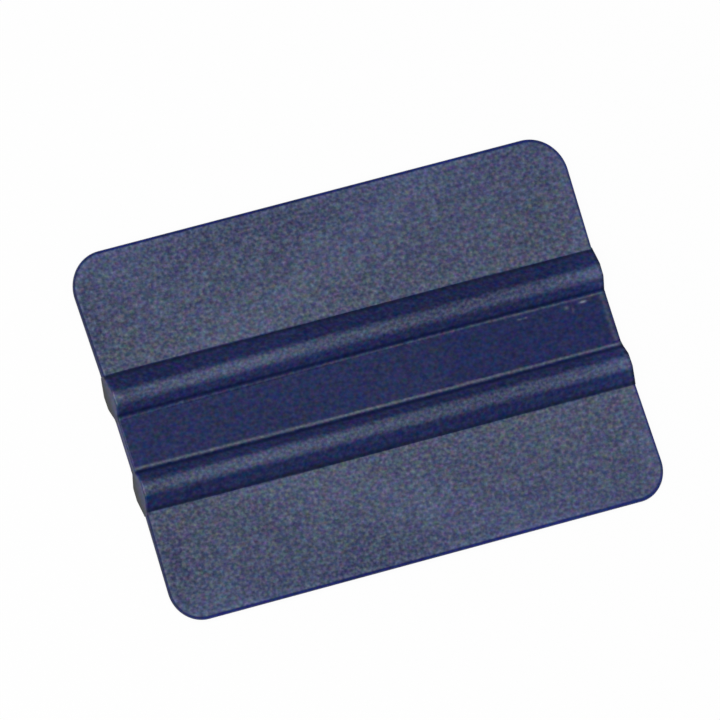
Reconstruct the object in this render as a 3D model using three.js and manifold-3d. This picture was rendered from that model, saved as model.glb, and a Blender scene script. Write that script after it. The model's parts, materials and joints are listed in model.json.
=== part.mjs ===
// A squeegee applicator: one moulded plastic card, 4 by 2 3/4 inches, with two thin working
// blades, and between them two rounded grip ribs on each face with a smooth flat web.
//
// Lengths are in millimetres. X runs along the working edges, Y from the front edge to the rear
// edge, and Z up. The card rests on the crowns of its lower ribs at z = 0.

import * as THREE from 'three';
import { mergeVertices } from 'three/addons/utils/BufferGeometryUtils.js';
import Module from 'manifold-3d';

// The whole card
const cardLength = 101.6;
const cardDepth = 70;
const waistLength = 100.1;

// The grip: the web and the two ribs. It lies a little nearer the front edge.
const gripOffset = -0.7;
const gripThickness = 4.6;
const webWidth = 10;
const webThickness = 1.75;
const ribInnerRun = 2.5;
const ribCrownWidth = 2.4;
const ribOuterRun = 3.3;
const ribFootRadius = 1.6;
const ribShoulderRadius = 1.2;
const endRimRadius = 0.3;

// The blades
const bladeRootThickness = 1.8;
const bladeTipThickness = 1.1;
const bladeRimWidth = 0.4;
const bladeRimShare = 0.8;
const rearCornerRadius = 7.2;
const frontCornerRadius = 6.2;

// The slit between the grip and each blade, on the line where the blade bends
const flexGap = 0.3;

// How far a solid runs past the plane that cuts it
const overrun = 2;

const arcSteps = { ribs: 6, blades: 16 };
const rimSteps = 3;

// Worked out from the sizes above. Distances across the grip count from its middle line.
const crownInner = webWidth / 2 + ribInnerRun;
const crownOuter = crownInner + ribCrownWidth;
const gripHalfWidth = crownOuter + ribOuterRun;
const rearReach = cardDepth / 2 - gripOffset;
const frontReach = cardDepth / 2 + gripOffset;

const finishes = {
  web: { color: 0x293155, roughness: 0.42, metalness: 0 },
  rib: { color: 0x353d63, roughness: 0.5, metalness: 0 },
  blade: { color: 0x4b536b, roughness: 0.7, metalness: 0 },
};

const wasm = await Module();
wasm.setup();

function solidOf(geometry) {
  const bare = geometry.clone();
  bare.deleteAttribute('normal');
  bare.deleteAttribute('uv');
  const merged = mergeVertices(bare);
  return new wasm.Manifold(new wasm.Mesh({
    numProp: 3,
    vertProperties: new Float32Array(merged.attributes.position.array),
    triVerts: new Uint32Array(merged.index.array),
  }));
}

function geometryOf(solid) {
  const { vertProperties, numProp, triVerts } = solid.getMesh();
  const geometry = new THREE.BufferGeometry();
  geometry.setAttribute('position', new THREE.BufferAttribute(vertProperties, numProp));
  geometry.setIndex(new THREE.BufferAttribute(triVerts, 1));
  geometry.computeVertexNormals();
  return geometry;
}

// A closed outline through the corners. A corner with a radius is rounded by the arc that
// touches both of its sides.
function roundedOutline(corners) {
  const outline = new THREE.Shape();
  corners.forEach(({ point, radius }, i) => {
    if (radius === 0) {
      if (i === 0) outline.moveTo(point.x, point.y);
      else outline.lineTo(point.x, point.y);
      return;
    }
    const before = corners.at(i - 1).point.clone().sub(point).normalize();
    const after = corners[(i + 1) % corners.length].point.clone().sub(point).normalize();
    const halfAngle = Math.acos(before.dot(after)) / 2;
    const bisector = before.clone().add(after).normalize();
    const centre = point.clone().addScaledVector(bisector, radius / Math.sin(halfAngle));
    const reach = radius / Math.tan(halfAngle);
    const start = point.clone().addScaledVector(before, reach).sub(centre).angle();
    const end = point.clone().addScaledVector(after, reach).sub(centre).angle();
    outline.absarc(centre.x, centre.y, radius, start, end, before.cross(after) > 0);
  });
  return outline;
}

function corner(x, y, radius) {
  return { point: new THREE.Vector2(x, y), radius };
}

function mapPositions(geometry, change) {
  const position = geometry.attributes.position;
  const point = new THREE.Vector3();
  for (let i = 0; i < position.count; i += 1) {
    point.fromBufferAttribute(position, i);
    change(point);
    position.setXYZ(i, point.x, point.y, point.z);
  }
  return geometry;
}

// Half of the card's length at a distance across the grip's middle line: even along the web,
// and wider from the web's border out to each working edge.
function halfLengthAt(across) {
  const reach = across > 0 ? rearReach : frontReach;
  const beyondWeb = Math.max(0, Math.abs(across) - webWidth / 2);
  const flareShare = beyondWeb / (reach - webWidth / 2);
  return THREE.MathUtils.lerp(waistLength, cardLength, flareShare) / 2;
}

// The solid between two planes across the card, wider and taller than the card itself
function bandBetween(low, high) {
  const size = [cardLength + 2 * overrun, high - low, gripThickness + 2 * overrun];
  return solidOf(new THREE.BoxGeometry(...size).translate(0, (low + high) / 2, 0));
}

// The grip's section, alike on both faces and on both sides of its middle line. Each rib
// rises from a filleted foot at the web to a flat crown with round shoulders, and falls at an
// easier slope to the sharp crease at the blade.
function gripSection() {
  const outwards = [
    [webWidth / 2, webThickness / 2, ribFootRadius],
    [crownInner, gripThickness / 2, ribShoulderRadius],
    [crownOuter, gripThickness / 2, ribShoulderRadius],
    [gripHalfWidth, bladeRootThickness / 2, 0],
    [gripHalfWidth + overrun, bladeRootThickness / 2, 0],
  ];
  const inwards = outwards.toReversed();
  const quarters = [[1, 1, inwards], [-1, 1, outwards], [-1, -1, inwards], [1, -1, outwards]];
  return roundedOutline(quarters.flatMap(([side, face, corners]) => (
    corners.map(([across, height, radius]) => corner(side * across, face * height, radius))
  )));
}

// The grip as one bar along X, with rounded ends that follow the card's flared sides
function gripBar() {
  const bar = new THREE.ExtrudeGeometry(gripSection(), {
    depth: waistLength - 2 * endRimRadius,
    bevelThickness: endRimRadius,
    bevelSize: endRimRadius,
    bevelOffset: -endRimRadius,
    bevelSegments: rimSteps,
    curveSegments: arcSteps.ribs,
  });
  const alongX = new THREE.Matrix4().makeBasis(
    new THREE.Vector3(0, 1, 0),
    new THREE.Vector3(0, 0, 1),
    new THREE.Vector3(1, 0, 0),
  );
  bar.applyMatrix4(alongX).translate(endRimRadius - waistLength / 2, 0, 0);
  mapPositions(bar, (point) => {
    point.x *= halfLengthAt(point.y) / (waistLength / 2);
  });
  return solidOf(bar);
}

// Where the web's flat ends and the fillet at the rib's foot begins
function webBorder() {
  const slope = Math.atan2(gripThickness / 2 - webThickness / 2, ribInnerRun);
  return webWidth / 2 - ribFootRadius * Math.tan(slope / 2);
}

// One blade, with its bending line on the X axis and its working edge towards +Y. It thins
// evenly from root to edge, has a rounded rim, and starts clear of the grip.
function bladeGeometry(reach, side, cornerRadius) {
  const length = reach - gripHalfWidth;
  const rootHalfLength = halfLengthAt(side * (gripHalfWidth - overrun));
  const rimHeight = bladeRimShare * bladeRootThickness / 2;
  const outline = roundedOutline([
    corner(-rootHalfLength, -overrun, 0),
    corner(rootHalfLength, -overrun, 0),
    corner(cardLength / 2, length, cornerRadius),
    corner(-cardLength / 2, length, cornerRadius),
  ]);
  const blank = new THREE.ExtrudeGeometry(outline, {
    depth: bladeRootThickness - 2 * rimHeight,
    bevelThickness: rimHeight,
    bevelSize: bladeRimWidth,
    bevelOffset: -bladeRimWidth,
    bevelSegments: rimSteps,
    curveSegments: arcSteps.blades,
  });
  blank.translate(0, 0, rimHeight - bladeRootThickness / 2);
  mapPositions(blank, (point) => {
    const thickness = THREE.MathUtils.lerp(bladeRootThickness, bladeTipThickness, point.y / length);
    point.z *= thickness / bladeRootThickness;
  });
  return geometryOf(solidOf(blank).intersect(bandBetween(flexGap / 2, length + overrun)));
}

function part(name, geometry, finish) {
  const mesh = new THREE.Mesh(geometry, new THREE.MeshStandardMaterial(finish));
  mesh.name = name;
  return mesh;
}

// The grip: one bar, divided where the web's flat meets the ribs' feet
const bar = gripBar();
const border = webBorder();
const gripEnd = gripHalfWidth - flexGap / 2;
const grip = new THREE.Group();
grip.position.set(0, gripOffset, 0);
grip.add(
  part('centre_web', geometryOf(bar.intersect(bandBetween(-border, border))), finishes.web),
  part('rear_grip_rib', geometryOf(bar.intersect(bandBetween(border, gripEnd))), finishes.rib),
  part('front_grip_rib', geometryOf(bar.intersect(bandBetween(-gripEnd, -border))), finishes.rib),
);

// The blades, each on its bending line at the outer foot of a rib
const rearBlade = part('rear_blade', bladeGeometry(rearReach, 1, rearCornerRadius), finishes.blade);
rearBlade.position.set(0, gripOffset + gripHalfWidth, 0);

const frontBlade = part('front_blade', bladeGeometry(frontReach, -1, frontCornerRadius), finishes.blade);
frontBlade.position.set(0, gripOffset - gripHalfWidth, 0);
frontBlade.rotation.z = Math.PI;

const group = new THREE.Group();
group.position.set(0, 0, gripThickness / 2);
group.add(grip, rearBlade, frontBlade);

export default group;
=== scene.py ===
"""The looks of a squeegee applicator: a moulded plastic card with two working blades and two grip ribs.

Lengths are in metres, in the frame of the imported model: X along the working edges, Y from the front
blade to the rear blade, Z up, with the lower rib crowns resting at z = 0. Across the grip, distances
count from its middle line.
"""

import json
import logging
import math
from dataclasses import dataclass, field
from enum import Enum
from typing import Any

import bpy
import numpy as np
from mathutils import Matrix, Vector


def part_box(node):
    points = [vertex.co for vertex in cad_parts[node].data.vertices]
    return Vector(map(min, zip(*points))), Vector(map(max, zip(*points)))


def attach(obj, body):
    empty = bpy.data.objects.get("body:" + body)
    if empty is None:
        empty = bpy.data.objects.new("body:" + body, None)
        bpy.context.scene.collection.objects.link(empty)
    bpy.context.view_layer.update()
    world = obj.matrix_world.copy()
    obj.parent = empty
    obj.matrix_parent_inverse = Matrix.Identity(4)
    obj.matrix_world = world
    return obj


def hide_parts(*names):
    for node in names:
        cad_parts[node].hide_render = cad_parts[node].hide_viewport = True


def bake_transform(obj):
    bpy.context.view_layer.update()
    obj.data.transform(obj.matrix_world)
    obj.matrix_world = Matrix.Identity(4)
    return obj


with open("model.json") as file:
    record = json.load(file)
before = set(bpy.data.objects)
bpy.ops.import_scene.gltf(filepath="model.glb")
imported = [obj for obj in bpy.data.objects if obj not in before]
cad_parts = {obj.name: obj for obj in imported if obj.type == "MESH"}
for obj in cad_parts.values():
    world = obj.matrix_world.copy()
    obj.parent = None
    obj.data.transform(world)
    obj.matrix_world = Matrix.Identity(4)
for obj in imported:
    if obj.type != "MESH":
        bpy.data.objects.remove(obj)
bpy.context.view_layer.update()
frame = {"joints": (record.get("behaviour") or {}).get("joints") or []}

LOG = logging.getLogger("squeegee_applicator")
MM = 0.001
MICRON = 0.000001

# The web's flat, from the middle line to where the ribs' feet would start without their fillets
WEB_HALF_WIDTH = 5 * MM
BLADE_ROOT_THICKNESS = 1.8 * MM

# The mean of the square of a share that runs evenly from -1 to 1
MEAN_SQUARED_SHARE = 1 / 3

# Noise spreads about its middle, and the Mix node's colour sockets go by number, as their names repeat
NOISE_MIDDLE = 0.5
MIX_FACTOR, MIX_FIRST, MIX_SECOND, MIX_RESULT = 0, 6, 7, 2

Array = np.ndarray
Triple = tuple[float, float, float]
Settings = dict[str, Any]
Sockets = dict[str | int, Any]


class Side(Enum):
    """The side of the grip's middle line that a member lies on, as the sign of its Y."""

    REAR = 1
    FRONT = -1


class Mark(Enum):
    """The values that every vertex of the card carries for its material."""

    # The grained land: the plastic's grain, with a painted sheen in its paler colour
    TEXTURED = "textured"
    # The rim: the blades' polished rims, and on the grip's end faces painted shade, darker towards the
    # bottom
    RIM = "rim"
    # Painted highlights: glints on ridges and flecks, strips near the ends, rounded crown ends and sheen in
    # the blade rims
    BURNISHED = "burnished"
    # Painted shade in the grooves beside the web and on the blades' left rims
    CREASED = "creased"
    # Painted shade along the ribs' outer feet
    SEAMED = "seamed"
    # On the web this brings painted shade towards the right end
    REACH = "reach"
    # Painted light and shade: broad patches, the ribs' dark right ends and the flecks' glints
    SHADE = "shade"
    PLACE = "place"


def smooth_step(low: float, high: float, values: Array) -> Array:
    """Three t squared less two t cubed, with t the values' share of the way from low to high."""
    share = np.clip((values - low) / (high - low), 0, 1)
    return share * share * (3 - 2 * share)


def hump(*offsets: Array) -> Array:
    """e to minus the sum of the squared offsets: 1 where they are 0, and falling to 0 round there."""
    return np.exp(-sum(offset**2 for offset in offsets))


def add_to_scene(name: str, data: bpy.types.ID) -> bpy.types.Object:
    """Makes an object of a mesh, lamp or lens, and links it to the scene.

    Args:
        name: The object's name.
        data: What it holds.

    Returns:
        The object.
    """
    made = bpy.data.objects.new(name, data)
    bpy.context.scene.collection.objects.link(made)
    return made


@dataclass(frozen=True)
class CardFrame:
    """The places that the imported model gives: the members sit where its nodes and joints are.

    The card's sides are even along the web, and flared from the web out to each working edge.
    """

    mid_plane: float
    grip_middle: float
    web_border: float
    waist_half_length: float
    thickness: float
    bend_line: dict[Side, float]
    working_edge: dict[Side, float]
    edge_half_length: float = 50.8 * MM

    @classmethod
    def from_model(cls) -> "CardFrame":
        """Reads the nodes' boxes and the joints' places.

        Returns:
            The places of the card's members.
        """
        web_low, web_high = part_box("centre_web")
        rib_low, rib_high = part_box("rear_grip_rib")
        places = {joint["child"]: joint["pos_m"] for joint in frame["joints"]}
        return cls(
            mid_plane=(rib_low.z + rib_high.z) / 2,
            grip_middle=(web_low.y + web_high.y) / 2,
            web_border=(web_high.y - web_low.y) / 2,
            waist_half_length=(web_high.x - web_low.x) / 2,
            thickness=rib_high.z - rib_low.z,
            bend_line={Side.REAR: places["rear_blade"][1], Side.FRONT: places["front_blade"][1]},
            working_edge={Side.REAR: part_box("rear_blade")[1].y, Side.FRONT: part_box("front_blade")[0].y},
        )

    def grip_half_width(self) -> float:
        """From the grip's middle line to the outer foot of a rib."""
        return self.bend_line[Side.REAR] - self.grip_middle

    def reach(self, side: Side) -> float:
        """From the grip's middle line to a working edge."""
        return abs(self.working_edge[side] - self.grip_middle)

    def half_length(self, across: Array, side: Side) -> Array:
        """Half of the card's length, in a straight line from the web's border to the working edge.

        Args:
            across: Distances from the grip's middle line.
            side: The side of the middle line that they lie on.

        Returns:
            Half of the card's length at each distance.
        """
        run = self.reach(side) - WEB_HALF_WIDTH
        flare = np.clip((np.abs(across) - WEB_HALF_WIDTH) / run, 0, None)
        return self.waist_half_length + flare * (self.edge_half_length - self.waist_half_length)


@dataclass(frozen=True)
class FineLine:
    """A fine ridge or groove that the mould left along the grip, on both faces.

    It lies a little askew, so its distance from the middle line falls from the card's left end to
    its right end by twice the lean, and at both ends it rises by the bow. Its strengths are how
    strongly its painted highlight on a ridge, or its painted shade in a groove, shows at places
    evenly spaced from the left end to the right end.
    """

    across: float
    width: float
    height: float
    lean: float = 0
    bow: float = 0
    strengths: tuple[float, ...] = (1,)

    def profile(self, x_share: Array, across: Array) -> Array:
        """The line's profile, a hump of the distance from its middle in half widths."""
        offset = across - self.across + (self.lean - self.bow * x_share) * x_share
        return hump(offset / (self.width / 2))

    def mark(self, x_share: Array, across: Array) -> Array:
        """The painted highlight or shade along the line: its profile times the strength, in straight lines
        between places.
        """
        places = np.linspace(-1, 1, len(self.strengths))
        return self.profile(x_share, across) * np.interp(x_share, places, self.strengths)


@dataclass(frozen=True)
class Spot:
    """A spot with a soft border, by its middle's place along and across the card, and its size."""

    x: float
    across: float
    length: float
    width: float

    def share(self, along: Array, sideways: Array) -> Array:
        """How much of the spot lies there: a hump of the distances in half lengths and half widths."""
        return hump(along / (self.length / 2), sideways / (self.width / 2))


@dataclass(frozen=True)
class PaintedLightPatch(Spot):
    """A broad patch of painted light, or of painted shade where its tone is below 0, alike on both sides of
    the grip.
    """

    tone: float
    slant: float = 0

    def shade(self, x: Array, across: Array) -> Array:
        """How much painted light the patch adds, as a share; below 0 it is painted shade."""
        sideways = np.abs(across) - self.across
        return self.tone * self.share(x - self.x - self.slant * sideways, sideways)


@dataclass(frozen=True)
class FlashFleck(Spot):
    """A crumb or smear of moulding flash on the upper face, as a low rounded hump with a painted glint."""

    height: float
    # Its strength is how much of the painted highlight colour it takes, and its glint the painted light it
    # adds
    strength: float
    glint: float = 0

    def cover(self, x: Array, across: Array) -> Array:
        """How much of the fleck lies at each place."""
        return self.share(x - self.x, across - self.across)


@dataclass(frozen=True)
class Arc:
    """A circle that rounds a corner of the section, over a stretch across the grip."""

    start: float
    end: float
    centre: float
    centre_height: float
    radius: float
    ridge: bool


@dataclass(frozen=True)
class GripSection:
    """The grip's section: web, filleted foot, inner slope, crown with round shoulders, outer slope.

    Its fine lines give their place across, width, height, lean, bow and strengths.
    """

    places: CardFrame
    # The ridges' marks paint a highlight along them
    ridges: tuple[FineLine, ...] = (
        FineLine(4.95 * MM, 0.45 * MM, 0.04 * MM, 0.13 * MM, -0.2 * MM, (0.3, 0.18, 0.36, 0.52, 0.47)),
        FineLine(-5.04 * MM, 0.58 * MM, 0.06 * MM, 0.33 * MM, 0.15 * MM, (0.86, 1.02, 1.06, 0.91, 0.7)),
    )
    # The grooves' marks paint shade in them
    grooves: tuple[FineLine, ...] = (
        FineLine(5.51 * MM, 0.65 * MM, -0.05 * MM, 0.16 * MM, -0.09 * MM),
        FineLine(-5.83 * MM, 0.76 * MM, -0.05 * MM, 0.33 * MM, 0.2 * MM),
    )
    # Fine lines along the ribs' outer feet, whose marks paint shade there
    foot_lines: tuple[FineLine, ...] = (
        FineLine(12.9 * MM, 0.75 * MM, -0.03 * MM, 0.2 * MM, -0.12 * MM, (0.85,)),
        FineLine(-12.8 * MM, 0.75 * MM, -0.03 * MM, 0.18 * MM, 0.08 * MM, (0.85,)),
    )
    web_thickness: float = 1.75 * MM
    inner_run: float = 2.5 * MM
    crown_width: float = 2.4 * MM
    foot_radius: float = 1.6 * MM
    shoulder_radius: float = 1.2 * MM
    land_half_width: float = 1.06 * MM
    land_softness: float = 0.75 * MM
    # The grained land sits a little towards the front and leans, where the crown's highlight falls, so its
    # paler colour is partly painted highlight
    land_shift: float = -0.17 * MM
    land_lean: dict[Side, float] = field(
        default_factory=lambda: {Side.REAR: 0.12 * MM, Side.FRONT: 0.3 * MM})
    crease_across: float = 13.17 * MM
    crease_shift: float = 0.03 * MM
    crease_lean: float = 0.22 * MM
    crease_bow: float = 0.1 * MM
    crease_softness: float = 0.08 * MM
    arc_rows: int = 12
    slope_step: float = 0.15 * MM
    slope_probe: float = MICRON
    merging_digits: int = 9

    def corners(self) -> tuple[Array, Array, Array]:
        """The section's corners from the middle line out to the blade.

        Returns:
            The corners' distances, their heights above the mid-plane, and their radii.
        """
        crown_start = WEB_HALF_WIDTH + self.inner_run
        end = self.places.grip_half_width()
        across = np.array([0, WEB_HALF_WIDTH, crown_start, crown_start + self.crown_width, end])
        crown, web = self.places.thickness, self.web_thickness
        heights = np.array([web, web, crown, crown, BLADE_ROOT_THICKNESS]) / 2
        radii = np.array([0, self.foot_radius, self.shoulder_radius, self.shoulder_radius, 0])
        return across, heights, radii

    def arcs(self) -> list[Arc]:
        """The circles that round the corners.

        An arc touches both of its corner's lines at a tangent's length from the corner: the radius
        times the tangent of half the angle between them.

        Returns:
            The arcs from the middle line out.
        """
        across, heights, radii = self.corners()
        angles = np.arctan2(np.diff(heights), np.diff(across))
        found = []
        for i in range(1, len(across) - 1):
            before, after, radius = angles[i - 1], angles[i], radii[i]
            inwards = radius if after < before else -radius
            tangent = radius * math.tan(abs(after - before) / 2)
            start = across[i] - tangent * math.cos(before)
            end = across[i] + tangent * math.cos(after)
            centre = start + inwards * math.sin(before)
            centre_height = heights[i] - tangent * math.sin(before) - inwards * math.cos(before)
            found.append(Arc(start, end, centre, centre_height, radius, ridge=after < before))
        return found

    def half_thickness(self, across: Array) -> Array:
        """The height of the surface above the mid-plane.

        Between the corners it is a straight line. On an arc it is the centre's height, plus on a ridge
        or less in a hollow the root of the radius squared less the distance from the centre squared.

        Args:
            across: Distances from the grip's middle line.

        Returns:
            The height at each distance.
        """
        distance = np.abs(across)
        corner_across, corner_heights, _ = self.corners()
        height = np.interp(distance, corner_across, corner_heights)
        for arc in self.arcs():
            on_arc = (distance >= arc.start) & (distance <= arc.end)
            rise = np.sqrt(np.clip(arc.radius**2 - (distance - arc.centre) ** 2, 0, None))
            height = np.where(on_arc, arc.centre_height + (rise if arc.ridge else -rise), height)
        return height

    def slope_stretch(self, across: Array) -> Array:
        """How much longer the surface is than its run: the root of 1 plus the slope squared.

        Args:
            across: Distances from the grip's middle line.

        Returns:
            The stretch at each distance.
        """
        probe = self.slope_probe
        inside = np.clip(np.abs(across), probe, self.places.grip_half_width() - probe)
        rise = self.half_thickness(inside + probe) - self.half_thickness(inside - probe)
        return np.hypot(1, rise / (2 * probe))

    def rows(self, low: float, high: float) -> Array:
        """Distances for rows of vertices, even on each straight stretch and close together on arcs.

        Args:
            low: The first row.
            high: The last row.

        Returns:
            The rows' distances, rising.
        """
        places = [place for arc in self.arcs() for place in (arc.start, arc.end) if low < place < high]
        stops = np.unique(np.round([low, high, *places], self.merging_digits))
        arc_starts = np.array([arc.start for arc in self.arcs()])
        stretches = []
        for start, end in zip(stops[:-1], stops[1:]):
            round_here = np.any(np.abs(arc_starts - start) < self.slope_probe)
            count = self.arc_rows if round_here else math.ceil((end - start) / self.slope_step)
            stretches.append(np.linspace(start, end, count + 1)[:-1])
        return np.append(np.concatenate(stretches), high)

    def relief(self, x_share: Array, across: Array) -> Array:
        """The sum of the fine lines' profiles times their heights."""
        lines = self.ridges + self.grooves + self.foot_lines
        return sum(line.height * line.profile(x_share, across) for line in lines)

    def crown_share(self, x_share: Array, across: Array) -> Array:
        """1 on the crown's grained land and 0 on the slopes, with a soft border at each shoulder.

        Args:
            x_share: Places along the card, from -1 to 1.
            across: Distances from the grip's middle line.

        Returns:
            The share at each place.
        """
        lean = np.where(across > 0, self.land_lean[Side.REAR], self.land_lean[Side.FRONT])
        distance = np.abs(across - self.land_shift + lean * x_share)
        middle = WEB_HALF_WIDTH + self.inner_run + self.crown_width / 2
        half, soft = self.land_half_width, self.land_softness
        return 1 - smooth_step(half - soft, half + soft, np.abs(distance - middle))

    def blade_share(self, x_share: Array, across: Array) -> Array:
        """1 where the blade's grain runs on over the foot of a rib, past the crease, and 0 inside it.

        Args:
            x_share: Places along the card, from -1 to 1.
            across: Distances from the grip's middle line.

        Returns:
            The share at each place. The crease bows about its mean distance.
        """
        distance = np.abs(across - self.crease_shift + self.crease_lean * x_share)
        past = distance + self.crease_bow * (x_share**2 - MEAN_SQUARED_SHARE) - self.crease_across
        return smooth_step(-self.crease_softness, self.crease_softness, past)

    def dark(self, lines: tuple[FineLine, ...], x_share: Array, across: Array) -> Array:
        """How dark the lines' painted shade is, up to where the blade's grain begins."""
        marks = sum(line.mark(x_share, across) for line in lines)
        return np.clip(marks * (1 - self.blade_share(x_share, across)), 0, 1)


@dataclass(frozen=True)
class Surface:
    """The points and faces of a closed piece, with the values that its material reads."""

    points: Array
    quads: Array
    triangles: Array
    marks: dict[Mark, Array]

    def volume(self) -> float:
        """The volume inside the faces, which is negative where they point inwards.

        Returns:
            A sixth of the sum, over all triangles, of the triple product of their corners.
        """
        halves = [self.triangles, self.quads[:, [0, 1, 2]], self.quads[:, [0, 2, 3]]]
        corners = self.points[np.concatenate(halves)]
        return float(np.einsum("ij,ij->", corners[:, 0], np.cross(corners[:, 1], corners[:, 2])) / 6)

    def to_object(self, name: str, sharp_angle: float) -> bpy.types.Object:
        """Puts the surface into a new mesh object at the origin, with its faces pointing outwards.

        Args:
            name: The object's name.
            sharp_angle: The angle between faces, in degrees, past which their edge stays sharp.

        Returns:
            The object, linked to the scene.
        """
        turn = -1 if self.volume() < 0 else 1
        faces = self.quads[:, ::turn].tolist() + self.triangles[:, ::turn].tolist()
        mesh = bpy.data.meshes.new(name)
        mesh.from_pydata(self.points.tolist(), [], faces)
        mesh.polygons.foreach_set("use_smooth", np.ones(len(faces), bool))
        mesh.set_sharp_from_angle(angle=math.radians(sharp_angle))
        for mark, values in self.marks.items():
            layer = mesh.attributes.new(mark.value, "FLOAT", "POINT")
            layer.data.foreach_set("value", values.astype(np.float32).ravel())
        place = mesh.attributes.new(Mark.PLACE.value, "FLOAT_VECTOR", "POINT")
        place.data.foreach_set("vector", self.points.astype(np.float32).ravel())
        mesh.validate()
        return add_to_scene(name, mesh)


def grid_quads(index: Array) -> Array:
    """The corners of the quads between the rows and columns of a grid of vertex numbers."""
    corners = (index[:-1, :-1], index[:-1, 1:], index[1:, 1:], index[1:, :-1])
    return np.stack(corners, axis=-1).reshape(-1, 4)


def ladder(upper: Array, lower: Array) -> tuple[Array, Array]:
    """Closes an open end between an upper and a lower row that meet at both of their ends.

    Args:
        upper: The vertex numbers along the upper row.
        lower: Those along the lower row, with the same first and last vertex.

    Returns:
        The quads between the rows, and the triangle at each end.
    """
    quads = grid_quads(np.stack([upper, lower]))[1:-1]
    triangles = np.array([[upper[0], upper[1], lower[1]], [upper[-1], lower[-2], upper[-2]]])
    return quads, triangles


def loop_faces(index: Array) -> tuple[Array, Array]:
    """Joins loops that lie side by side, and closes the first and the last of them.

    Args:
        index: The vertex numbers, by loop and by place along it.

    Returns:
        The quads and the triangles.
    """
    half = index.shape[1] // 2
    quads, triangles = [grid_quads(np.concatenate([index, index[:, :1]], axis=1))], []
    for loop, order in ((index[0], 1), (index[-1], -1)):
        lower = np.concatenate([loop[:1], loop[:half - 1:-1]])
        end_quads, end_triangles = ladder(loop[:half + 1], lower)
        quads.append(end_quads[:, ::order])
        triangles.append(end_triangles[:, ::order])
    return np.concatenate(quads), np.concatenate(triangles)


@dataclass(frozen=True)
class GripLoop:
    """The loop that is carried across the grip: along the upper face, down an end, and back below.

    It starts and ends in the middle of the left end face. Each vertex has a run, its share of half
    the straight length, an out, its share of the end's radius, a drop, the share of the radius that
    the rounding takes off the height, and a level, its share of the height.
    """

    columns: int
    half_length: float
    end_columns: int = 16
    end_width: float = 1.6 * MM
    round_steps: int = 6
    half_face_steps: int = 3

    def top(self) -> Array:
        """The upper face's runs: even along the card, and closer together at both ends."""
        fine = np.linspace(1 - self.end_width / self.half_length, 1, self.end_columns + 1)
        return np.concatenate([-fine[::-1], np.linspace(-fine[0], fine[0], self.columns + 1)[1:-1], fine])

    def shares(self) -> tuple[Array, Array, Array, Array]:
        """The loop's run, out, drop and level.

        Returns:
            Four rows of shares. The first vertex isn't repeated at the end.
        """
        turn = np.linspace(0, math.pi / 2, self.round_steps + 1)
        level_up = np.linspace(0, 1, self.half_face_steps + 1)
        top = self.top()
        face, flat = np.ones(len(level_up) - 1), np.zeros(len(top) - 2)
        left_run = np.full(len(face) + self.round_steps, -1)
        run = np.concatenate([left_run, top, -left_run])
        out = np.concatenate([-face, -np.sin(turn[::-1]), flat, np.sin(turn), face])
        drop = np.concatenate([face, 1 - np.cos(turn[::-1]), flat, 1 - np.cos(turn), face])
        rounded = np.ones(len(run) - 2 * len(face))
        level = np.concatenate([level_up[:-1], rounded, level_up[::-1][1:]])
        below = slice(-2, 0, -1)
        return (np.concatenate([run, run[below]]), np.concatenate([out, out[below]]),
                np.concatenate([drop, drop[below]]), np.concatenate([level, -level[below]]))


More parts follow.
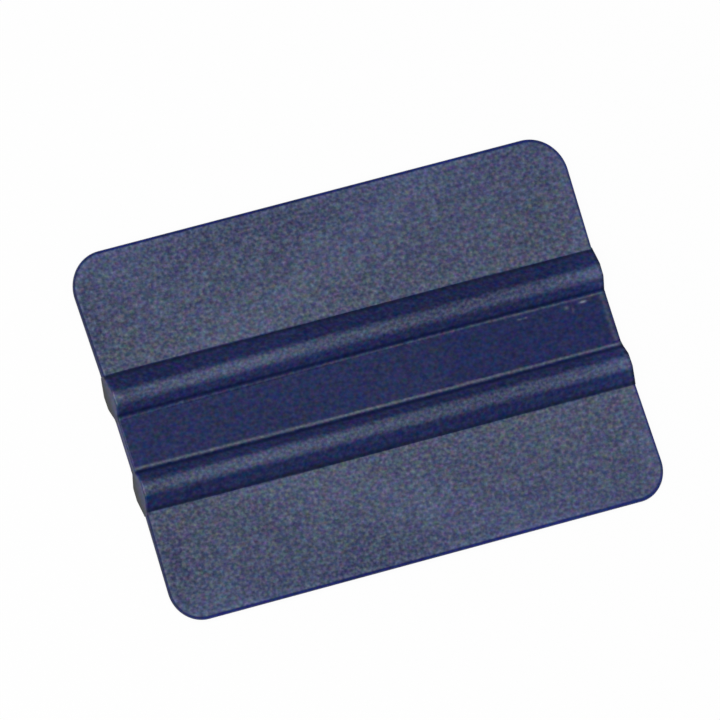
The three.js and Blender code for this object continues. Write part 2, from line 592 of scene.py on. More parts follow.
@dataclass
class GripMember:
    """A length of the grip between two planes along X: the web, or a rib.

    Its flecks give their place along and across, length, width, height, strength and glint.
    """

    section: GripSection
    end_radius: float = 0.3 * MM
    column_step: float = 0.5 * MM
    sharp_angle: float = 35
    # A strip of painted highlight at an inset from the right end, and painted shade across the right end
    end_strip_inset: float = 1.0 * MM
    end_strip_width: float = 0.9 * MM
    end_strip_strength: float = 0
    end_shade: float = 0
    end_shade_width: float = 0.66 * MM
    # Painted reflection on the upper part of the end faces
    end_face_reflection: float = 0
    # Painted highlight on a crown's rounded end
    crown_end_strength: float = 0.9
    # Where the web's painted shade towards its right end begins and where it is full
    far_start: float = 0.2
    far_end: float = 0.4
    # Broad patches of painted light and shade
    patches: tuple[PaintedLightPatch, ...] = ()
    # Flecks of flash, each with a painted glint
    flecks: tuple[FlashFleck, ...] = (
        FlashFleck(45.07 * MM, 3.92 * MM, 1.4 * MM, 0.5 * MM, height=0.11 * MM, strength=1, glint=1.2),
        FlashFleck(41.53 * MM, 3.6 * MM, 0.85 * MM, 0.75 * MM, height=0.06 * MM, strength=0.75),
        FlashFleck(42.7 * MM, 3.1 * MM, 0.5 * MM, 1.1 * MM, height=0.04 * MM, strength=0.4),
        FlashFleck(31.95 * MM, 3.77 * MM, 1.0 * MM, 0.34 * MM, height=0.03 * MM, strength=0.75),
        FlashFleck(33.1 * MM, 3.77 * MM, 0.8 * MM, 0.34 * MM, height=0.03 * MM, strength=0.75),
        FlashFleck(-37.26 * MM, 5.06 * MM, 0.75 * MM, 0.5 * MM, height=0.05 * MM, strength=0.9),
    )

    def surface(self, across: Array, side: Side) -> Surface:
        """Carries the loop across the grip.

        At each distance the loop is as long as the card there and as high as the section. Its ends
        are quarter circles of the end radius, square to the section's slope. The painted shade at the
        right end falls away from a half to one and a half of its width. On a crown's rounded end the
        painted highlight is four times the flat's share times the rest, which is 1 in the middle.

        Args:
            across: The rows' distances from the middle line, from the front to the rear.
            side: The side of the middle line whose flare the sides follow.

        Returns:
            The closed surface.
        """
        places = self.section.places
        length = places.waist_half_length
        loop = GripLoop(columns=round(2 * length / self.column_step), half_length=length)
        run, out, drop, level = (share[None, :] for share in loop.shares())
        half_length = places.half_length(across, side)[:, None]
        height = self.section.half_thickness(across)[:, None]
        stretch = self.section.slope_stretch(across)[:, None]
        x = run * (half_length - self.end_radius) + out * self.end_radius
        z = level * (height - stretch * self.end_radius * drop)
        y = np.broadcast_to(across[:, None], x.shape)
        x_share = x / length
        flat_share = np.broadcast_to(1 - np.abs(out), x.shape)
        z = z + level * self.section.relief(x_share, y)
        inset, width = half_length - x, self.end_shade_width
        # Painted shade over the right end
        end_shade = self.end_shade * (1 - smooth_step(width / 2, width * 3 / 2, inset))
        shade = sum((patch.shade(x, y) for patch in self.patches), start=end_shade)
        # Painted highlights along the ridges and in a strip near the right end; the flecks add painted
        # glints
        burnished = self.painted_glints(x_share, y, inset)
        for fleck in self.flecks:
            share = (level > 0) * flat_share * fleck.cover(x, y)
            z = z + share * fleck.height
            burnished = np.maximum(burnished, share * fleck.strength)
            shade = shade + share * fleck.glint
        points = np.stack([x, places.grip_middle + y, places.mid_plane + z], axis=-1).reshape(-1, 3)
        crown, blade = self.section.crown_share(x_share, y), self.section.blade_share(x_share, y)
        # Painted highlight on the crown's rounded end
        rounding = 4 * flat_share * (1 - flat_share) * crown * self.crown_end_strength
        # The end faces get painted shade towards the bottom and a painted reflection towards the top
        end_face, rise = (1 - flat_share) ** 2, smooth_step(-1, 1, level)
        highlighted = np.maximum(flat_share * burnished, end_face * rise * self.end_face_reflection)
        marks = {
            Mark.TEXTURED: flat_share * np.maximum(crown, blade),
            Mark.RIM: end_face * (1 - rise),
            Mark.BURNISHED: np.maximum(highlighted, rounding),
            Mark.CREASED: self.section.dark(self.section.grooves, x_share, y),
            Mark.SEAMED: self.section.dark(self.section.foot_lines, x_share, y),
            Mark.REACH: smooth_step(self.far_start, self.far_end, x_share),
            Mark.SHADE: shade,
        }
        return Surface(points, *loop_faces(np.arange(len(points)).reshape(x.shape)), marks)

    def painted_glints(self, x_share: Array, across: Array, inset: Array) -> Array:
        """How strong the painted highlight is along the ridges, and in a strip at an inset from the right
        end.
        """
        strip = self.end_strip_strength * hump((inset - self.end_strip_inset) / (self.end_strip_width / 2))
        return np.maximum.reduce([strip, *(ridge.mark(x_share, across) for ridge in self.section.ridges)])


@dataclass
class CentreWeb(GripMember):
    """The smooth flat band between the ribs, with a painted highlight strip beside its right end."""

    column_step: float = 0.25 * MM
    row_step: float = 0.3 * MM
    border_row_step: float = 0.06 * MM
    border_width: float = 1.6 * MM
    # A strip of painted highlight beside the right end
    end_strip_strength: float = 0.4

    def build(self) -> None:
        """Makes and dresses the web, between the two borders where the ribs' feet begin."""
        border = self.section.places.web_border
        flat = border - self.border_width
        fine = np.linspace(flat, border, round(self.border_width / self.border_row_step) + 1)
        coarse = np.linspace(-flat, flat, round(2 * flat / self.row_step) + 1)
        rows = np.concatenate([-fine[::-1], coarse[1:-1], fine])
        piece = self.surface(rows, Side.REAR).to_object("centre_web_moulding", self.sharp_angle)
        dress(piece, "centre_web", WEB_PLASTIC)
        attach(piece, "grip")


@dataclass
class GripRib(GripMember):
    """One rib, on both faces, from the web's border out to the crease at the blade.

    Its crown has painted light left of the middle and at both ends, and painted shade right of the
    middle, and its right end is darkened with painted shade. The patches give their place along and
    across, length, width and tone.
    """

    side: Side = Side.REAR
    # A strip of painted highlight near the right end, painted shade over the right end, and a painted
    # reflection on the end faces
    end_strip_width: float = 0.5 * MM
    end_strip_strength: float = 0.07
    end_shade: float = -0.6
    end_face_reflection: float = 0.08
    # Patches of painted light and shade on the crown, the slopes and the ends
    patches: tuple[PaintedLightPatch, ...] = (
        PaintedLightPatch(-26 * MM, 8.7 * MM, 26 * MM, 4 * MM, 0.17),
        PaintedLightPatch(24 * MM, 8.7 * MM, 44 * MM, 4 * MM, -0.25),
        PaintedLightPatch(-47.8 * MM, 8.7 * MM, 4.4 * MM, 4 * MM, -0.17),
        PaintedLightPatch(-49.9 * MM, 8.7 * MM, 1.8 * MM, 4 * MM, 0.25),
        PaintedLightPatch(49 * MM, 8.7 * MM, 8 * MM, 60 * MM, 0.33),
        PaintedLightPatch(45 * MM, 8.7 * MM, 90 * MM, 60 * MM, 0.1),
        PaintedLightPatch(0, 6.5 * MM, 400 * MM, 1.6 * MM, 0.09),
    )

    def build(self) -> None:
        """Makes and dresses the rib on its side of the middle line."""
        places, sign, side_name = self.section.places, self.side.value, self.side.name.lower()
        rows = sign * self.section.rows(places.web_border, places.grip_half_width())[::sign]
        piece = self.surface(rows, self.side).to_object(f"{side_name}_rib_moulding", self.sharp_angle)
        dress(piece, f"{side_name}_grip_rib", RIB_PLASTIC)
        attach(piece, "grip")


@dataclass(frozen=True)
class BladeRim:
    """The rounded rim of a blade, with the fine bead of the mould's parting line along its middle."""

    width: float = 0.4 * MM
    height_share: float = 0.8
    polish_end: float = 0.62 * MM
    # A band of painted sheen inside the rounded rim
    sheen_middle: float = 0.78 * MM
    sheen_end: float = 1.5 * MM
    sheen_strength: float = 0.68
    left_shift: float = 0.34 * MM
    right_shift: float = -0.12 * MM
    # Painted shade on the left side's rim
    left_shade: float = 0.6
    right_polish: float = 0.6
    far_shift: float = -0.1 * MM
    far_start: float = 0.3
    bead_out: float = 0.03 * MM
    bead_share: float = 0.08
    round_steps: int = 6

    def profile(self) -> tuple[Array, Array]:
        """The rim's profile from the upper face to the lower.

        On each face it starts inside the burnished band. Then come a quarter of an ellipse and a
        short upright face with the bead.

        Returns:
            Each point's inset from the card's outline, and its level as a share of half the
            thickness.
        """
        turn = np.linspace(0, math.pi / 2, self.round_steps + 1)
        depth = self.width - self.bead_out
        flat = [self.sheen_end, self.sheen_middle, self.polish_end]
        inset = np.concatenate([flat, self.width - depth * np.sin(turn), [self.bead_out]])
        fall = self.height_share * (1 - np.cos(turn))
        level = np.concatenate([[1] * len(flat), 1 - fall, [self.bead_share]])
        return np.concatenate([inset, [0], inset[::-1]]), np.concatenate([level, [0], -level[::-1]])

    def marks(self, inset: Array, x_share: Array, normals: Array) -> tuple[Array, Array, Array]:
        """The rim's polish, painted sheen and painted shade, with the bands nearest to the edge on the
        left.

        The polish is full on the rounded rim and gone at its end. The painted sheen is strongest in its
        middle, and gone at its two borders. The working edge is polished further in at its right
        end, the right side is polished less, and the left side is darkened with painted shade.

        Args:
            inset: The profile's insets from the card's outline.
            x_share: Places along the card, from -1 to 1.
            normals: The outward normals along the outline.

        Returns:
            The polish, the painted sheen and the painted shade, by place along the outline and by inset.
        """
        left, right = np.clip(-normals[:, :1], 0, 1), np.clip(normals[:, :1], 0, 1)
        far = normals[:, 1:] * smooth_step(self.far_start, 1, x_share)[:, None]
        depth = inset[None, :] + self.left_shift * left + self.right_shift * right + self.far_shift * far
        polished = np.clip((self.polish_end - depth) / (self.polish_end - self.width), 0, 1)
        polished = polished * (1 - right * (1 - self.right_polish))
        places = [self.polish_end, self.sheen_middle, self.sheen_end]
        burnished = np.interp(depth, places, [0, self.sheen_strength, 0], left=0, right=0)
        return polished, burnished, polished * left * self.left_shade


@dataclass
class Blade:
    """One thin working blade, from its tongue inside the rib to its rounded working edge."""

    section: GripSection
    side: Side
    corner_radii: dict[Side, float] = field(
        default_factory=lambda: {Side.REAR: 7.2 * MM, Side.FRONT: 6.2 * MM})
    tip_thickness: float = 1.1 * MM
    tongue: float = 0.6 * MM
    tongue_inset: float = 0.1 * MM
    rim: BladeRim = field(default_factory=BladeRim)
    root_steps: int = 5
    root_width: float = 0.5 * MM
    side_steps: int = 36
    corner_steps: int = 16
    edge_steps: int = 150
    bend_end_share: float = 1.15
    sharp_angle: float = 50
    # Broad patches of painted light and shade on the blade
    patches: tuple[PaintedLightPatch, ...] = (
        PaintedLightPatch(1 * MM, 24 * MM, 24 * MM, 200 * MM, 0.16, slant=2.35),
        PaintedLightPatch(38 * MM, 24 * MM, 46 * MM, 60 * MM, 0.07),
        PaintedLightPatch(-44 * MM, 33 * MM, 22 * MM, 9 * MM, 0.16),
        PaintedLightPatch(-14 * MM, 34 * MM, 22 * MM, 10 * MM, -0.09),
        PaintedLightPatch(50 * MM, 24 * MM, 7 * MM, 200 * MM, 0.2),
        PaintedLightPatch(-50 * MM, 22 * MM, 8 * MM, 26 * MM, -0.18),
        PaintedLightPatch(0, 13.9 * MM, 400 * MM, 2.6 * MM, 0.08),
    )

    def length(self) -> float:
        """From the bending line to the working edge."""
        return self.section.places.reach(self.side) - self.section.places.grip_half_width()

    def half_thickness(self, distance: Array) -> Array:
        """Half of the thickness, which falls evenly from the bending line to the working edge."""
        share = distance / self.length()
        return (BLADE_ROOT_THICKNESS + share * (self.tip_thickness - BLADE_ROOT_THICKNESS)) / 2

    def path(self) -> tuple[Array, Array]:
        """The outline from the right end of the root, round the working edge, to the left end.

        A side is a straight line, a corner is the arc that touches the side and the working edge,
        and the left half mirrors the right. Inside the rib the tongue's sides draw in.

        Returns:
            The points as x and distance from the bending line, and the outward normals there.
        """
        places, length, radius = self.section.places, self.length(), self.corner_radii[self.side]
        root = places.half_length(np.array(places.grip_half_width()), self.side)
        start, corner = np.array([root, 0.0]), np.array([places.edge_half_length, length])
        side_length = np.linalg.norm(corner - start)
        along = (corner - start) / side_length
        normal = np.array([along[1], -along[0]])
        lean = math.atan2(normal[1], normal[0])
        tangent = radius * math.tan((math.pi / 2 - lean) / 2)
        centre = corner - tangent * along - radius * normal
        foot = np.linspace(0, self.root_width, self.root_steps + 1)[:-1]
        rest = np.linspace(self.root_width, side_length - tangent, self.side_steps - self.root_steps + 1)
        travel = np.concatenate([[-self.tongue], foot, rest])
        side_points = start + travel[:, None] * along
        side_points[0, 0] -= self.tongue_inset
        turn = np.linspace(lean, math.pi / 2, 2 * self.corner_steps + 1)[1:]
        arc_normals = np.stack([np.cos(turn), np.sin(turn)], axis=1)
        right = np.concatenate([side_points, centre + radius * arc_normals])
        right_normals = np.concatenate([np.tile(normal, (len(travel), 1)), arc_normals])
        edge_x = np.linspace(centre[0], -centre[0], self.edge_steps + 1)[1:-1]
        edge = np.stack([edge_x, np.full(len(edge_x), length)], axis=1)
        edge_normals = np.tile([0.0, 1.0], (len(edge_x), 1))
        mirror = np.array([-1, 1])
        points = np.concatenate([right, edge, right[::-1] * mirror])
        return points, np.concatenate([right_normals, edge_normals, right_normals[::-1] * mirror])

    def sheet(self, border: Array, corner: int) -> Array:
        """Fills the border with a grid: the blend of its four sides less the blend of its corners.

        Args:
            border: The border's points, from the right end of the root round to the left end.
            corner: The number of steps along a side, up to the middle of the corner's arc.

        Returns:
            The grid's points, by row from the root to the edge and by column from right to left.
        """
        right, left = border[:corner + 1], border[::-1][:corner + 1]
        far = border[corner:len(border) - corner]
        lengths = np.linalg.norm(np.diff(right, axis=0), axis=1)
        row = np.concatenate([[0], np.cumsum(lengths)])[:, None, None] / lengths.sum()
        column = ((far[0, 0] - far[:, 0]) / (far[0, 0] - far[-1, 0]))[None, :, None]
        near = (right[0] + column[0] * (left[0] - right[0]))[None]
        sides = (1 - column) * right[:, None] + column * left[:, None]
        ends = (1 - row) * near + row * far[None]
        corners = (1 - row) * near + row * ((1 - column) * far[0] + column * far[-1])
        return sides + ends - corners

    def surface(self) -> Surface:
        """Joins the upper and lower faces by the rim, and closes the tongue's end.

        Returns:
            The closed surface.
        """
        path, normals = self.path()
        inset, level = self.rim.profile()
        corner = 1 + self.side_steps + self.corner_steps
        sheet = self.sheet(path - inset[0] * normals, corner)
        rim = path[:, None] - inset[None, 1:-1, None] * normals[:, None]
        flat = sheet.reshape(-1, 2)
        outline = np.concatenate([flat, flat, rim.reshape(-1, 2)])
        levels = np.concatenate([np.ones(len(flat)), -np.ones(len(flat)), np.tile(level[1:-1], len(path))])
        upper = np.arange(len(flat)).reshape(sheet.shape[:2])
        lower = upper + len(flat)
        rim_index = 2 * len(flat) + np.arange(rim.shape[0] * rim.shape[1]).reshape(rim.shape[:2])

        def border(index: Array) -> Array:
            """The numbers along a face's border, in the order of the path."""
            return np.concatenate([index[:, 0], index[-1, 1:-1], index[::-1, -1]])

        band = np.concatenate([border(upper)[:, None], rim_index, border(lower)[:, None]], axis=1)
        middle = band.shape[1] // 2
        root_upper = np.concatenate([band[0, middle:0:-1], upper[0], band[-1, 1:middle + 1]])
        root_lower = np.concatenate([band[0, middle:-1], lower[0], band[-1, -2:middle - 1:-1]])
        end_quads, end_triangles = ladder(root_upper, root_lower)
        quads = np.concatenate([grid_quads(upper), grid_quads(lower)[:, ::-1], grid_quads(band.T),
                                end_quads[:, ::-1]])
        places = self.section.places
        y = places.bend_line[self.side] + self.side.value * outline[:, 1]
        z = places.mid_plane + levels * self.half_thickness(outline[:, 1])
        plain = np.zeros(2 * len(flat))
        rim_marks = self.rim.marks(inset[1:-1], path[:, 0] / places.edge_half_length, normals)
        polished, burnished, dark = (np.concatenate([plain, mark.ravel()]) for mark in rim_marks)
        across = places.grip_half_width() + outline[:, 1]
        where = (outline[:, 0] / places.waist_half_length, self.side.value * across)
        # The rim's painted sheen and its painted shade on the left side, painted shade at the rib's foot,
        # and patches of painted light and shade
        marks = {
            Mark.TEXTURED: (1 - polished) * self.section.blade_share(*where),
            Mark.RIM: polished,
            Mark.BURNISHED: burnished,
            Mark.CREASED: dark,
            Mark.SEAMED: self.section.dark(self.section.foot_lines, *where),
            Mark.REACH: np.clip(outline[:, 1] / self.length(), 0, 1),
            Mark.SHADE: sum(patch.shade(outline[:, 0], across) for patch in self.patches),
        }
        points = np.stack([outline[:, 0], y, z], axis=1)
        return Surface(points, quads, end_triangles[:, ::-1], marks)

    def build(self) -> None:
        """Makes and dresses the blade."""
        name = f"{self.side.name.lower()}_blade"
        piece = self.surface().to_object(f"{name}_moulding", self.sharp_angle)
        dress(piece, name, BLADE_PLASTIC)
        foot, level = self.section.places.bend_line[self.side], self.section.places.mid_plane
        end = foot + self.side.value * self.bend_end_share * self.length()
        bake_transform(piece)


class Value:
    """A shader socket that adds, subtracts and multiplies as a number does."""

    def __init__(self, graph: "Graph", socket: bpy.types.NodeSocket) -> None:
        """Wraps a socket of a graph's node."""
        self.graph = graph
        self.socket = socket

    def _math(self, operation: str, first: Any, second: Any) -> "Value":
        """The result of a Math node for first and second."""
        return self.graph.value("ShaderNodeMath", 0, {"operation": operation}, {0: first, 1: second})

    def __add__(self, other: Any) -> "Value":
        """This value plus another."""
        return self._math("ADD", self, other)

    __radd__ = __add__

    def __sub__(self, other: Any) -> "Value":
        """This value less another."""
        return self._math("SUBTRACT", self, other)

    def __rsub__(self, other: Any) -> "Value":
        """Another value less this one."""
        return self._math("SUBTRACT", other, self)

    def __mul__(self, other: Any) -> "Value":
        """This value times another."""
        return self._math("MULTIPLY", self, other)

    __rmul__ = __mul__


class Graph:
    """The nodes of one material or of the world, built anew."""

    def __init__(self, owner: bpy.types.Material | bpy.types.World) -> None:
        """Empties the nodes of a material or a world.

        Args:
            owner: The material or the world.
        """
        owner.use_nodes = True
        self.tree = owner.node_tree
        self.tree.nodes.clear()

    def node(self, kind: str, settings: Settings | None = None,
             sockets: Sockets | None = None) -> bpy.types.Node:
        """Adds a node.

        Args:
            kind: The node's type.
            settings: Its settings by name, which are set first.
            sockets: The values or links of its input sockets, by name or number. A colour is three
                numbers, and is opaque.

        Returns:
            The node.
        """
        made = self.tree.nodes.new(kind)
        for name, value in (settings or {}).items():
            setattr(made, name, value)
        for key, value in (sockets or {}).items():
            socket = made.inputs[key]
            if isinstance(value, Value):
                self.tree.links.new(value.socket, socket)
            else:
                socket.default_value = (*value, 1) if socket.type == "RGBA" else value
        return made

    def value(self, kind: str, output: str | int, settings: Settings | None = None,
              sockets: Sockets | None = None) -> Value:
        """Adds a node as the method above does, and wraps the output of that name or number."""
        return Value(self, self.node(kind, settings, sockets).outputs[output])

    def mark(self, mark: Mark) -> Value:
        """A value that the vertices carry: a vector for their place, and otherwise a number."""
        output = "Vector" if mark is Mark.PLACE else "Fac"
        return self.value("ShaderNodeAttribute", output, {"attribute_name": mark.value})

    def mix_colour(self, factor: Any, first: Any, second: Any, blend: str = "MIX") -> Value:
        """The first colour where the factor is 0, and the second, or its blend, where it is 1."""
        return self.value("ShaderNodeMix", MIX_RESULT, {"data_type": "RGBA", "blend_type": blend},
                          {MIX_FACTOR: factor, MIX_FIRST: first, MIX_SECOND: second})

    def vector(self, operation: str, *inputs: Any, **named: Any) -> Value:
        """The result of a Vector Math operation on its inputs, in order or by name."""
        sockets = dict(enumerate(inputs)) | named
        return self.value("ShaderNodeVectorMath", 0, {"operation": operation}, sockets)

    def noise(self, output: str, cell: float, shape: Triple = (1, 1, 1), detail: float = 2,
              roughness: float = 0.5) -> Value:
        """Noise that is fixed to the card.

        Args:
            output: "Fac" for a number or "Color" for three that differ.
            cell: The size of its blotches.
            shape: How much finer it is along each axis.
            detail: How many finer octaves it has.
            roughness: The share of each finer octave.

        Returns:
            The noise, which spreads about its middle from about 0 to 1.
        """
        place = self.vector("MULTIPLY", self.mark(Mark.PLACE), shape)
        sockets = {"Vector": place, "Scale": 1 / cell, "Detail": detail, "Roughness": roughness}
        return self.value("ShaderNodeTexNoise", output, {}, sockets)


@dataclass(frozen=True)
class MouldedPlastic:
    """The card's dark blue plastic: smooth where the mould was polished, grained where it was sparked.

    The grain is a fine matte speckle in tone, hue, gloss and height, and its paler colour holds a
    painted sheen. Its fine detail is its number of finer octaves, and their share. The blades' rims are
    polished to a fuller blue, and on the grip's end faces the rim colour is painted shade, darker
    towards the bottom. Ridges, borders, flecks and rounded ends get painted highlights, sheen and
    reflection, and the grooves, the ribs' outer feet and the blades' left rims get painted shade.
    """

    slot: str
    smooth: Triple
    smooth_far: Triple
    rim: Triple
    # The grained colours are the plastic's blue with a painted sheen of the matte grain
    textured: Triple = (0.0734, 0.0929, 0.1703)
    textured_tip: Triple = (0.0713, 0.0903, 0.1808)
    # The painted highlight colour
    burnished: Triple = (0.118, 0.141, 0.203)
    # Painted shade in the grooves and on the blades' left rims
    creased: Triple = (0.0025, 0.0082, 0.052)
    # Painted shade along the ribs' outer feet
    seamed: Triple = (0.007, 0.012, 0.038)
    smooth_roughness: float = 0.32
    textured_roughness: float = 0.6
    specular: float = 0.2
    grain_cell: float = 0.67 * MM
    grain_depth: float = 60 * MICRON
    grain_shape: Triple = (1, 1.15, 1)
    grain_tint: Triple = (1.16, 1, 0.66)
    grain_skew: float = 0.35
    grain_tone: float = 2.15
    smooth_tone: float = 0.95
    hue_cell: float = 0.96 * MM
    hue_shape: Triple = (1, 1.28, 1)
    hue_spread: Triple = (1.22, 1.22, 1.15)
    smooth_hue_spread: Triple = (2.25, 1.3, 1.25)
    # The hue spread where the painted highlight lies
    painted_highlight_hue_spread: Triple = (0.7, 0.7, 0.7)
    fine_detail: tuple[float, float] = (1, 0.4)
    patch_cell: float = 28 * MM
    patch_tone: float = 0.25

    def material(self) -> bpy.types.Material:
        """Builds the finish's nodes.

        Returns:
            The material.
        """
        made = bpy.data.materials.new(self.slot)
        graph = Graph(made)
        textured = graph.mark(Mark.TEXTURED)
        grain = graph.noise("Fac", self.grain_cell, self.grain_shape, *self.fine_detail) - NOISE_MIDDLE
        shader = graph.value("ShaderNodeBsdfPrincipled", 0, {}, {
            "Base Color": self.colour(graph, textured, grain),
            "Roughness": self.roughness(textured, grain),
            "Specular IOR Level": self.specular,
            "Normal": self.relief(graph, textured, grain),
        })
        graph.node("ShaderNodeOutputMaterial", {}, {"Surface": shader})
        return made

    def colour(self, graph: Graph, textured: Value, grain: Value) -> Value:
        """The finish's colour with its speckle.

        Args:
            graph: The material's nodes.
            textured: 1 where the surface is grained.
            grain: The grain, from about -0.5 to 0.5.

        Returns:
            The colour.
        """
        reach, highlighted = graph.mark(Mark.REACH), graph.mark(Mark.BURNISHED)
        # The grained colours hold a painted sheen
        land = graph.mix_colour(reach, self.textured, self.textured_tip)
        bare = graph.mix_colour(reach, self.smooth, self.smooth_far)
        plain = graph.mix_colour(textured, bare, land)
        # On the grip's end faces the rim colour is painted shade
        polished = graph.mix_colour(graph.mark(Mark.RIM), plain, self.rim)
        # Painted highlights and sheen
        burnished = graph.mix_colour(highlighted, polished, self.burnished)
        # Painted shade in the grooves and on the blades' left rims
        creased = graph.mix_colour(graph.mark(Mark.CREASED), burnished, self.creased)
        # Painted shade along the ribs' outer feet
        edged = graph.mix_colour(graph.mark(Mark.SEAMED), creased, self.seamed)
        patch = graph.noise("Fac", self.patch_cell) - NOISE_MIDDLE
        speck = grain * (self.smooth_tone + textured * (self.grain_tone - self.smooth_tone))
        specks = graph.vector("SCALE", self.grain_tint, Scale=speck + speck * speck * self.grain_skew)
        # The shade mark adds painted light and shade
        tone = graph.vector("ADD", specks, 1 + patch * self.patch_tone + graph.mark(Mark.SHADE))
        toned = graph.vector("MULTIPLY", edged, tone)
        spread = graph.mix_colour(textured, self.smooth_hue_spread, self.hue_spread)
        calm = graph.mix_colour(highlighted, spread, self.painted_highlight_hue_spread)
        hues = graph.noise("Color", self.hue_cell, self.hue_shape, *self.fine_detail)
        offset = graph.vector("SUBTRACT", hues, (NOISE_MIDDLE,) * 3)
        tint = graph.vector("MULTIPLY_ADD", offset, calm, (1, 1, 1))
        return graph.mix_colour(1, toned, tint, "MULTIPLY")

    def roughness(self, textured: Value, grain: Value) -> Value:
        """Smooth on the polished faces, and matte and uneven on the grain."""
        spread = self.textured_roughness - self.smooth_roughness
        return self.smooth_roughness + textured * (spread + grain * spread)

    def relief(self, graph: Graph, textured: Value, grain: Value) -> Value:
        """The grain's fine relief, as a normal."""
        sockets = {"Distance": self.grain_depth, "Height": textured * grain}
        return graph.value("ShaderNodeBump", 0, {}, sockets)


WEB_PLASTIC = MouldedPlastic(
    # The web's smooth colour darkens towards its right end: painted shade
    slot="web_plastic", smooth=(0.0256, 0.0352, 0.1115), smooth_far=(0.0212, 0.0293, 0.1085),
    # The rim colour paints shade on the web's end faces
    rim=(0, 0.002, 0.085))
RIB_PLASTIC = MouldedPlastic(
    slot="rib_plastic", smooth=(0.0157, 0.0229, 0.089), smooth_far=(0.0157, 0.0229, 0.089),
    # The near-black rim colour paints shade on the ribs' end faces
    rim=(0, 0.003, 0), smooth_hue_spread=(3.3, 2, 1.4), smooth_tone=1.45, grain_tone=1.8)
BLADE_PLASTIC = MouldedPlastic(
    slot="blade_plastic", smooth=(0.0155, 0.023, 0.091), smooth_far=(0.0155, 0.023, 0.091),
    # The grained colours hold a painted sheen
    rim=(0.01, 0.02, 0.14), textured=(0.0803, 0.0978, 0.1622), textured_tip=(0.0679, 0.084, 0.1655),
    # The painted highlight colour, and painted shade on the left rims
    burnished=(0.092, 0.118, 0.234), creased=(0.003, 0.009, 0.036))


def dress(piece: bpy.types.Object, node: str, finish: MouldedPlastic) -> None:
    """Gives a piece its finish, and lets it stand for its node.

    Args:
        piece: The piece.
        node: The CAD node that it replaces.
        finish: Its finish, whose slot the record names.
    """
    piece.data.materials.append(finish.material())
    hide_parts(node)
    triangles = sum(len(face.vertices) - 2 for face in piece.data.polygons)
    LOG.info("%s: %d triangles, stands for %s", piece.name, triangles, node)


@dataclass(frozen=True)
class PhotoCamera:
    """The photograph's view: a long lens high over the card's front left, rolled a little."""

    azimuth: float = -74.67919
    elevation: float = 65.30612
    roll: float = 58.33113
    aim: tuple[float, float] = (-0.55137 * MM, 3.51533 * MM)
    distance: float = 3.40017
    lens: float = 934.6545
    sensor: float = 36

    def build(self, mid_plane: float) -> None:
        """Makes the scene's camera, aimed at a point of the card's mid-plane.

        Args:
            mid_plane: The mid-plane's height.
        """
        azimuth, elevation, roll = map(math.radians, (self.azimuth, self.elevation, self.roll))
        back = Vector((math.sin(azimuth) * math.cos(elevation), -math.cos(azimuth) * math.cos(elevation),
                       math.sin(elevation)))
        level = Vector((math.cos(azimuth), math.sin(azimuth), 0))
        right = Matrix.Rotation(roll, 3, back) @ level
        up = back.cross(right)
        lens = bpy.data.cameras.new("photo_camera")
        lens.lens, lens.sensor_width = self.lens, self.sensor
        camera = add_to_scene("photo_camera", lens)
        place = Vector((*self.aim, mid_plane)) + back * self.distance
        turn = Matrix((right, up, back)).transposed().to_4x4()
        camera.matrix_world = Matrix.Translation(place) @ turn
        bpy.context.scene.camera = camera


@dataclass(frozen=True)
class SoftBox:
    """A rectangular studio lamp that faces the card."""

    name: str
    direction: Triple
    distance: float
    width: float
    height: float
    radiance: float

    def build(self) -> None:
        """Makes the lamp. Its power is its radiance times its area times pi."""
        lamp = bpy.data.lights.new(self.name, "AREA")
        lamp.shape = "RECTANGLE"
        lamp.size, lamp.size_y = self.width, self.height
        lamp.energy = self.radiance * self.width * self.height * math.pi
        made = add_to_scene(self.name, lamp)
        towards = Vector(self.direction).normalized()
        turn = towards.to_track_quat("Z", "Y").to_matrix().to_4x4()
        made.matrix_world = Matrix.Translation(towards * self.distance) @ turn
        made.visible_camera = False


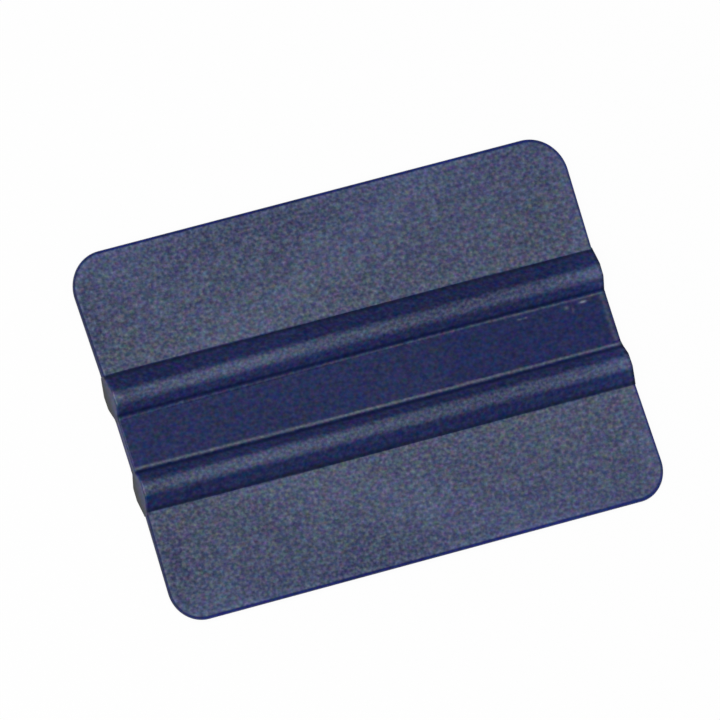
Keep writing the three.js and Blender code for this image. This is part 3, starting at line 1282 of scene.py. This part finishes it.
@dataclass(frozen=True)
class Studio:
    """A pale floor and backdrop, a dimmer ceiling, and soft lamps."""

    floor_size: float = 16
    floor_colour: Triple = (0.95, 0.95, 0.95)
    backdrop_share: float = 0.96
    mirrored_share: float = 0.5
    ambient: float = 0.9
    ceiling_share: float = 0.15
    ceiling_start: float = 0.03
    ceiling_end: float = 0.26
    lamps: tuple[SoftBox, ...] = (
        SoftBox("key_lamp", (-0.42, -0.12, 0.9), 1.2, 0.9, 0.9, 4.55),
        SoftBox("side_lamp", (-0.85, 0.08, 0.5), 1.2, 0.6, 0.8, 1.0),
    )

    def seen(self, graph: Graph, camera_share: float, mirrored_share: float) -> Value:
        """How far a ray sees the white background.

        Args:
            graph: The nodes of the floor or of the world.
            camera_share: The share for a ray of the camera.
            mirrored_share: The share for a ray of a mirror or a glass.

        Returns:
            The share for the ray.
        """
        rays = graph.node("ShaderNodeLightPath")
        kinds = ("Is Camera Ray", "Is Glossy Ray", "Is Transmission Ray")
        camera, glossy, through = (Value(graph, rays.outputs[kind]) for kind in kinds)
        return camera * camera_share + (glossy + through) * mirrored_share

    def build(self) -> None:
        """Makes the floor, the world and the lamps."""
        half = self.floor_size / 2
        corners = [(-half, -half, 0), (half, -half, 0), (half, half, 0), (-half, half, 0)]
        mesh = bpy.data.meshes.new("floor")
        mesh.from_pydata(corners, [], [range(len(corners))])
        mesh.materials.append(self.floor_material())
        add_to_scene("floor", mesh)
        self.dress_world()
        for lamp in self.lamps:
            lamp.build()

    def floor_material(self) -> bpy.types.Material:
        """White paper that keeps the card's shadow.

        Returns:
            The material: a diffuse white, mostly covered by an even white for rays that see it.
        """
        made = bpy.data.materials.new("white_paper")
        graph = Graph(made)
        paper = graph.value("ShaderNodeBsdfDiffuse", 0, {}, {"Color": self.floor_colour})
        white = graph.value("ShaderNodeEmission", 0, {}, {"Strength": 1})
        seen = self.seen(graph, self.backdrop_share, self.mirrored_share)
        shown = graph.value("ShaderNodeMixShader", 0, {}, {0: seen, 1: paper, 2: white})
        graph.node("ShaderNodeOutputMaterial", {}, {"Surface": shown})
        return made

    def dress_world(self) -> None:
        """Lights the card from all round, from a pale horizon up to a dimmer ceiling."""
        world = bpy.data.worlds.new("studio")
        bpy.context.scene.world = world
        graph = Graph(world)
        towards = graph.value("ShaderNodeTexCoord", "Generated")
        height = graph.value("ShaderNodeSeparateXYZ", "Z", {}, {0: towards})
        fade = graph.value("ShaderNodeMapRange", 0, {"interpolation_type": "SMOOTHSTEP"}, {
            "Value": height, "From Min": self.ceiling_start, "From Max": self.ceiling_end,
            "To Min": 1, "To Max": self.ceiling_share})
        strength = fade * (self.ambient + (1 - self.ambient) * self.seen(graph, 1, 1))
        sky = graph.value("ShaderNodeBackground", 0, {}, {"Color": (1, 1, 1), "Strength": strength})
        graph.node("ShaderNodeOutputWorld", {}, {"Surface": sky})


def main() -> None:
    """Builds the camera, the card's members and the studio, in that order."""
    logging.basicConfig(level=logging.INFO, format="%(message)s")
    bpy.context.scene.view_settings.view_transform = "Standard"
    section = GripSection(CardFrame.from_model())
    PhotoCamera().build(section.places.mid_plane)
    CentreWeb(section).build()
    for side in Side:
        GripRib(section, side=side).build()
    for side in Side:
        Blade(section, side).build()
    Studio().build()


if __name__ == "__main__":
    main()
